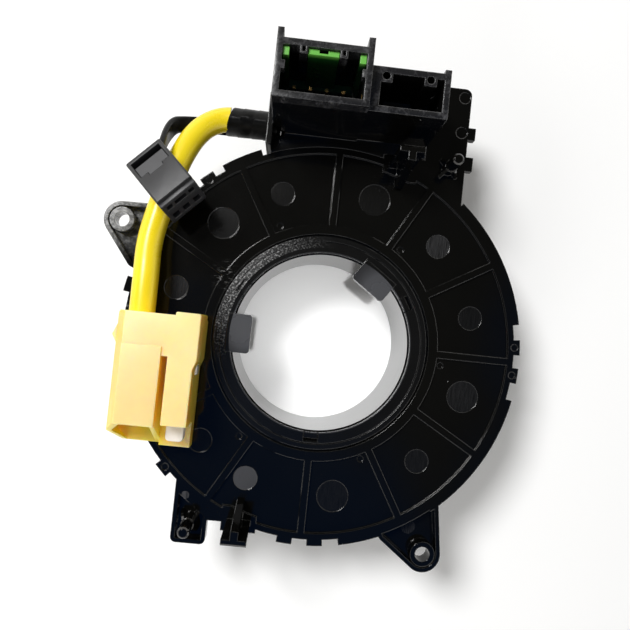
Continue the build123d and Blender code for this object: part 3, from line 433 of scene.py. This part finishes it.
def between(factor, first, second):
    """A colour between two others."""
    first = first if isinstance(first, Signal) else (*first, 1.0)
    second = second if isinstance(second, Signal) else (*second, 1.0)
    return factor.node("ShaderNodeMix", {"data_type": "RGBA"},
                       {"Factor": factor, "A": first, "B": second}, "Result")


# %% Helper: the end of a finish
def connect(material, colour, roughness, height, strength, depth, edge):
    """Wires colour, roughness and a bump over softened edges. Depth and edge are in millimetres."""
    shader = material.node_tree.nodes["Principled BSDF"]
    links = material.node_tree.links
    links.new(colour.socket, shader.inputs["Base Color"])
    links.new(roughness.socket, shader.inputs["Roughness"])
    bump = {"Height": height, "Strength": strength, "Distance": depth * MM}
    if edge:
        bump["Normal"] = colour.node("ShaderNodeBevel", {"samples": 6}, {"Radius": edge * MM})
    links.new(colour.node("ShaderNodeBump", {}, bump).socket, shader.inputs["Normal"])
    print(material.name, "nodes:", len(material.node_tree.nodes))


# %% [markdown]
# ### Plain mouldings, films and metals
# Most pieces need no marks of their own: two close shades, one cloud of noise that moves the gloss
# about, and a fine grain. Each could be wired by hand, but one function makes them all, and the list of
# its calls reads like a paint chart.

# %% Helper: a plain finish
def plastic(name, light, dark, roughness, spread, edge, cloud_scale=90.0, grain=0.12, fixed=None):
    """Two close shades, with a roughness that varies by about the spread."""
    material, place = new_finish(name, fixed)
    cloud = noise(place, cloud_scale, 5.0, 0.6)
    fine = noise(place, 2200.0, 2.0)
    rough = roughness + (cloud - 0.5) * spread + (fine - 0.5) * 0.06
    connect(material, between(cloud, dark, light), rough, fine * 0.6 + cloud * 0.4, grain, 0.05, edge)
    return material


# %% Black and yellow mouldings
satin_black = plastic("satin_black", (0.017, 0.017, 0.019), (0.010, 0.010, 0.012), roughness=0.42,
                      spread=0.2, edge=0.1, cloud_scale=400.0, grain=0.3,
                      fixed={"Specular IOR Level": 0.40})
satin_grey = plastic("satin_grey", (0.046, 0.046, 0.050), (0.034, 0.034, 0.038), roughness=0.42,
                     spread=0.2, edge=0.12, cloud_scale=400.0, grain=0.3)
lead_block_black = plastic("lead_block_black", (0.02, 0.02, 0.02), (0.014, 0.014, 0.014),
                           roughness=0.5, spread=0.2, edge=0.15)
sleeve_yellow = plastic("sleeve_yellow", (0.94, 0.74, 0.015), (0.90, 0.68, 0.008), roughness=0.30,
                        spread=0.25, edge=0.0, cloud_scale=120.0, grain=0.25)

# %% White mouldings
lock_white = plastic("lock_white", (0.84, 0.80, 0.74), (0.78, 0.74, 0.68), roughness=0.42,
                     spread=0.15, edge=0.2)
white_acetal = plastic("white_acetal", (0.80, 0.80, 0.77), (0.74, 0.74, 0.71), roughness=0.36,
                       spread=0.12, edge=0.15)

# %% Films
slide_film = plastic("slide_film", (0.80, 0.80, 0.78), (0.72, 0.72, 0.70), roughness=0.38,
                     spread=0.12, edge=0.0)
cable_film = plastic("cable_film", (0.62, 0.34, 0.13), (0.50, 0.26, 0.09), roughness=0.3,
                     spread=0.12, edge=0.0)

# %% Metals
metal = {"Metallic": 1.0}
contact_gold = plastic("contact_gold", (0.62, 0.40, 0.15), (0.45, 0.25, 0.08), roughness=0.26,
                       spread=0.15, edge=0.08, cloud_scale=500.0, grain=0.1, fixed=metal)
spring_steel = plastic("spring_steel", (0.66, 0.65, 0.62), (0.5, 0.5, 0.48), roughness=0.26,
                       spread=0.15, edge=0.05, cloud_scale=500.0, grain=0.1, fixed=metal)

# %% [markdown]
# ## Pale yellow moulding
# The plug is a soft, slightly see-through nylon, bright where light crosses its thin walls and deep
# orange in its slots, and the faces that look up are painted paler as painted light. Subsurface
# scattering gives the glow. A glowing paint could fake it, but would be wrong as soon as the light
# moves. Little light reaches the inside of the mouth, so a soft patch of purer, brighter yellow is
# painted there as painted light.

# %% Helper: a soft round patch
def near(place, centre, radius):
    """1 at a point, falling to 0 at a radius, both in millimetres."""
    away = place.node("ShaderNodeVectorMath", {"operation": "DISTANCE"},
                      {0: place, 1: tuple(v * MM for v in centre)}, "Value")
    return fade(away, 0.0, radius * MM, 1.0, 0.0, "SMOOTHSTEP")


# %% Pale yellow
mouth_centre = (-42.8, -25.0, 37.0)
mouth_roof = 43.3
pale_yellow, place = new_finish("pale_yellow", {
    "Subsurface Weight": 0.75, "Subsurface Scale": 0.004, "Subsurface Radius": (1.0, 0.6, 0.12)})
cloud = noise(place, 70.0, 4.0)
fine = noise(place, 1500.0, 2.0)
# Painted light: faces that look up get the paler colour.
painted_top_light = fade(z_of(place.other("Normal")), 0.5, 1.0)
# Painted light: a purer, brighter yellow inside the mouth.
mouth = near(place, mouth_centre, radius=13.0) * (z_of(place) < mouth_roof * MM) * 1.5
side = between(cloud, (0.93, 0.58, 0.040), (0.95, 0.64, 0.08))
side = between(mouth, side, (0.99, 0.72, 0.05))
top = between(cloud, (0.93, 0.64, 0.26), (0.95, 0.70, 0.36))
colour = between(painted_top_light * (1 - mouth), side, top)
rough = 0.38 + (cloud - 0.5) * 0.2
connect(pale_yellow, colour, rough, fine, strength=0.10, depth=0.05, edge=0.3)

# %% [markdown]
# ## Green moulding
# The green comb sits deep in the first socket, and only its upper edge is near the light. So height
# mixes two greens: painted shade on the lower part and painted light on the upper edge. One green all
# over would lose that bright edge.

# %% Green
edge_low, edge_high = 55.0 * MM, 56.6 * MM
socket_green, place = new_finish("socket_green")
cloud = noise(place, 300.0, 4.0)
upper = fade(z_of(place), edge_low, edge_high)
# Painted shade on the lower part, painted light on the upper edge.
colour = between(upper, (0.007, 0.055, 0.009), (0.13, 0.44, 0.06))
rough = 0.30 + (cloud - 0.5) * 0.2
connect(socket_green, colour, rough, cloud, strength=0.12, depth=0.05, edge=0.2)

# %% [markdown]
# ## Black tape
# Cloth tape is matt between its threads, and its folds shine. Noise squeezed along X gives folds that
# run round the wrap, and a much finer one gives the weave. Folds could be modelled too, but they are
# finer than the picture can show.

# %% Helper: a stretched pattern
def stretched(place, scale, turned=(0.0, 0.0, 0.0)):
    """The place after a Mapping node, so that what follows is stretched or turned."""
    return place.node("ShaderNodeMapping", {}, {"Vector": place, "Rotation": turned, "Scale": scale})


# %% Tape
tape_black, place = new_finish("tape_black", {"Specular IOR Level": 0.06})
squeezed = stretched(place, (3.0, 1.0, 1.0))
threads = noise(squeezed, 900.0)
folds = noise(squeezed, 130.0)
colour = between(threads, (0.002, 0.002, 0.002), (0.007, 0.007, 0.007))
rough = 0.34 + (folds - 0.5) * 0.5
connect(tape_black, colour, rough, threads * 0.3 + folds, strength=0.55, depth=0.25, edge=0.0)

# %% [markdown]
# ## The cover's marks
# Ejector pins leave round marks with a brushed face. The solid has them as shallow pits, and the finish
# needs to know what lies inside them. A painted mask could say that, but a table of angle, radius and
# paleness on one circle is short, and it can be set against the picture mark by mark.

# %% Helper: round marks
def round_marks(place, marks):
    """Inside of any of the marks, and how pale the surface is there.

    A mark is x, y and radius in millimetres, and paleness."""
    level = stretched(place, (1.0, 1.0, 0.0))
    covers, shades = [], []
    for x, y, radius, paleness in marks:
        away = place.node("ShaderNodeVectorMath", {"operation": "DISTANCE"},
                          {0: level, 1: (x * MM, y * MM, 0.0)}, "Value")
        covers.append(away < radius * MM)
        shades.append(covers[-1] * paleness)
    return sum(covers[1:], covers[0]), sum(shades[1:], shades[0])


# %% Where the marks are
# Angle in degrees on the circle, or x and y, then radius in millimetres, and paleness.
mark_circle = 40.13
circle_marks = [
    (15, 3.1, 0.07), (45, 3.1, 0.42), (75, 4.1, 0.04), (110, 3.1, 0.04), (135, 4.1, 0.07),
    (165, 3.1, 0.22), (-165, 4.1, 0.06), (-135, 3.1, 0.03), (-113, 3.1, 2.40), (-79.5, 4.1, 0.06),
    (-45, 3.1, 0.08), (-15, 4.1, 0.16),
]
outer_marks = [(28.3, -46.0, 1.9, 0.25), (-30.5, -42.5, 1.0, 1.2)]
cover_marks = []
for angle, radius, paleness in circle_marks:
    x = mark_circle * math.cos(math.radians(angle))
    y = mark_circle * math.sin(math.radians(angle))
    cover_marks.append((x, y, radius, paleness))
cover_marks += outer_marks
print("ejector marks:", len(cover_marks))

# %% [markdown]
# ## The cover's finish
# The cover is high gloss black with dust, rubbed edges that also carry painted glints, a painted sheen
# on the left ear, and some scratches beside the ring. Each of those is a mask, and the masks are laid
# over one another from the plastic up. Separate materials on separate faces could show them, but
# would end at the edges of the triangles.

# %% Helper: dust
def dust(place, scale, chance, size):
    """Small specks, one for some of the cells of a random grid."""
    cells = place.node("ShaderNodeTexVoronoi", {}, {"Vector": place, "Scale": scale}, "Distance")
    chosen = place.node("ShaderNodeSeparateColor", {}, {"Color": cells.other("Color")}) > 1.0 - chance
    return (cells < size) * chosen


# %% Helper: rubbed edges with painted glints
def worn_and_glinting_edges(place, radius, scale):
    """Patches along sharp edges, where a rounded normal and the real one part: wear and painted glints."""
    soft = place.node("ShaderNodeBevel", {"samples": 6}, {"Radius": radius * MM})
    hard = place.node("ShaderNodeNewGeometry", {}, {}, "Normal")
    same = place.node("ShaderNodeVectorMath", {"operation": "DOT_PRODUCT"}, {0: soft, 1: hard}, "Value")
    return fade(same, 0.98, 0.80) * fade(noise(place, scale, 4.0, 0.7), 0.46, 0.72)


# %% Masks of the cover
left_ear = (-56.0, 27.0, 30.0)
scratched_spot = (-26.0, 14.6, 29.5)
cover_black, place = new_finish("cover_black")
inside, pale = round_marks(place, cover_marks)
streaks = noise(stretched(place, (9.0, 0.6, 1.0)), 420.0)
cloud = noise(place, 60.0, 5.0, 0.65)
fine = noise(place, 1800.0, 2.0)
specks = dust(place, scale=260.0, chance=0.04, size=0.04)
painted_ear_sheen = near(place, left_ear, radius=13.0) * fade(noise(place, 900.0, 5.0, 0.7), 0.42, 0.66, 0.4, 1.4)
slanted = stretched(place, (1.0, 3.0, 1.0), turned=(0.0, 0.0, 0.5))
scratches = near(place, scratched_spot, radius=5.0) * fade(noise(slanted, 500.0, 4.0, 0.8), 0.56, 0.72)
print("masks of the cover:", len(cover_black.node_tree.nodes), "nodes")

# %% Cover
colour = between(cloud, (0.0016, 0.0016, 0.0014), (0.0026, 0.0025, 0.0021))
colour = between(pale * (streaks * 3.0 - 0.7), colour, (0.050, 0.050, 0.052))
# Painted reflection: the left ear is painted grey where the lamp's sheen lies.
colour = between(painted_ear_sheen, colour, (0.22, 0.22, 0.22))
# Edges a little paler: partly wear, partly painted glints.
colour = between(worn_and_glinting_edges(place, radius=0.22, scale=170.0) * 0.3, colour, (0.08, 0.08, 0.08))
colour = between(scratches.maths("MAXIMUM", scratches, specks), colour, (0.30, 0.30, 0.30))
rough = 0.09 + (cloud - 0.45) * 0.10 + inside * 0.08 + painted_ear_sheen * 0.20
height = fine * 0.10 + streaks * inside * 0.35 + cloud * 0.30
connect(cover_black, colour, rough, height, strength=0.30, depth=0.08, edge=0.28)

# %% [markdown]
# ## Gloss black, with paler high edges
# The block of sockets and the case share the cover's plastic. The rims of the sockets have a fine grain
# and are rubbed by every plug, and they stand closest to the lamp, so they are painted grey and
# streaky: partly wear, partly painted light. The rim could be picked out face by face, but its height
# alone says which faces it has.

# %% Gloss black
rim_low, rim_high = 53.2 * MM, 53.9 * MM
gloss_black, place = new_finish("gloss_black")
raised = fade(z_of(place), rim_low, rim_high)
cloud = noise(place, 70.0, 5.0, 0.65)
fine = noise(place, 1300.0, 2.0)
specks = dust(place, scale=300.0, chance=0.05, size=0.05)
rim_wear_and_glint = worn_and_glinting_edges(place, radius=0.30, scale=300.0) * (0.2 + raised * 0.8)
rim_streaks_and_sheen = raised * fade(noise(stretched(place, (1.0, 1.0, 0.3)), 520.0, 5.0, 0.7), 0.50, 0.72)
colour = between(cloud, (0.0018, 0.0018, 0.0018), (0.0032, 0.0031, 0.0029))
# Rims painted paler: partly grain and wear, partly painted light from the lamp close above.
colour = between(raised, colour, (0.010, 0.010, 0.011))
# Streaks on the rims: partly wear, partly painted sheen.
colour = between(rim_streaks_and_sheen, colour, (0.070, 0.070, 0.074))
# Edges paler: partly wear, partly painted glints.
colour = between(rim_wear_and_glint, colour, (0.20, 0.20, 0.205))
colour = between(specks, colour, (0.4, 0.4, 0.4))
rough = 0.15 + (cloud - 0.45) * 0.16 + raised * 0.10
height = fine * (0.15 + raised) + cloud * 0.3
connect(gloss_black, colour, rough, height, strength=0.3, depth=0.06, edge=0.3)

# %% [markdown]
# ## Ring and hub
# The turning ring is handled and rubbed, so fine scratches and dust sit on its upper left. Its two lugs
# and the top of its inner edge are painted grey as a painted sheen. The wall of the bore is untouched
# and mirrors the paper. Each zone could have a material of its own, but it is one plastic, and the
# distance from the bore's axis tells them apart.

# %% Zones of the ring
# All in millimetres, and the first three are distances from the axis.
band_inner = 24.7
lug_sheen_outer = 23.7
wall_outer = 23.6
wall_top = 28.3
worn_spot = (-22.0, 16.0, 30.0)
left_lug = (-20.6, 1.5, 29.5)
right_lug = (14.6, 14.6, 29.5)
ring_black, place = new_finish("ring_black")
cloud = noise(place, 80.0, 5.0, 0.65)
grain = noise(place, 1900.0, 2.0)
from_axis = place.node("ShaderNodeVectorMath", {"operation": "LENGTH"},
                       {0: stretched(place, (1.0, 1.0, 0.0))}, "Value")
above = z_of(place) > wall_top * MM
band = (from_axis > band_inner * MM) * near(place, worn_spot, radius=26.0)
lugs = near(place, left_lug, radius=9.0) + near(place, right_lug, radius=9.0)
painted_lug_sheen = (from_axis < lug_sheen_outer * MM) * above * (0.35 + lugs * 1.4)
wall = (from_axis < wall_outer * MM) * (1 - above)
print("zones of the ring:", len(ring_black.node_tree.nodes), "nodes")

# %% Ring
colour = between(cloud, (0.0022, 0.0022, 0.0022), (0.0040, 0.0040, 0.0040))
# Painted sheen: the lugs and the top of the inner edge are painted grey.
colour = between(painted_lug_sheen, colour, (0.042, 0.043, 0.047))
colour = between(band * 0.7, colour, (0.022, 0.022, 0.022))
colour = between(band * fade(grain, 0.50, 0.66), colour, (0.24, 0.24, 0.24))
rough = 0.16 + (cloud - 0.45) * 0.16 + band * 0.12 + painted_lug_sheen * 0.08 - wall * 0.08
connect(ring_black, colour, rough, grain * 0.3 + cloud * 0.4, strength=0.3, depth=0.06, edge=0.25)

# %% [markdown]
# ## Each piece gets its finish
# Finishes could be dropped on the pieces by hand. The record names a slot for every node, so a loop
# paints them all and forgets none. The cover, the ring and the hub have finishes of their own, and the
# new pieces are painted by name.

# %% Which finish goes where
by_slot = {
    "gloss_black": gloss_black, "satin_black": satin_black, "satin_grey": satin_grey,
    "tape_black": tape_black, "lead_block_black": lead_block_black, "yellow_sleeve": sleeve_yellow,
    "pale_yellow": pale_yellow, "white": lock_white, "green": socket_green, "gold": contact_gold,
    "spring_steel": spring_steel, "cable_film": cable_film, "slide_film": slide_film,
    "white_acetal": white_acetal,
}
own_finish = {"stator_cover": cover_black, "rotor_ring": ring_black, "rotor": ring_black}
new_pieces = [
    (yellow_sleeve, sleeve_yellow), (taped_lead, tape_black), (tape, tape_black), (yellow_plug, pale_yellow),
    (plug_lock, lock_white), (black_plug, satin_black), (socket_block, gloss_black),
]
print("finishes:", len(by_slot) + len(set(own_finish.values())))


# %% Paint
def paint(piece, material):
    """Leaves this material alone on a piece."""
    piece.data.materials.clear()
    piece.data.materials.append(material)


for part in frame["record"]["subparts"]:
    node = part["node"]
    paint(nodes[node], own_finish.get(node, by_slot[part["material_slot"]]))
for piece, material in new_pieces:
    paint(piece, material)
print("painted:", len(nodes), "nodes and", len(new_pieces), "new pieces")

# %% [markdown]
# ## The names of the leads
# The two leads are curves, and this cell prints their names. Whoever uses the model could measure a
# curve, but would not know that it is free to move.

# %% The leads' names
print("declared:", yellow_sleeve.name, "and", taped_lead.name)

# %% [markdown]
# ## Updating the scene
# Roundings and new pieces must not change how large the object is. Its box could be read off in the
# viewport. This last cell only updates the view layer.

# %% Update the view layer
bpy.context.view_layer.update()
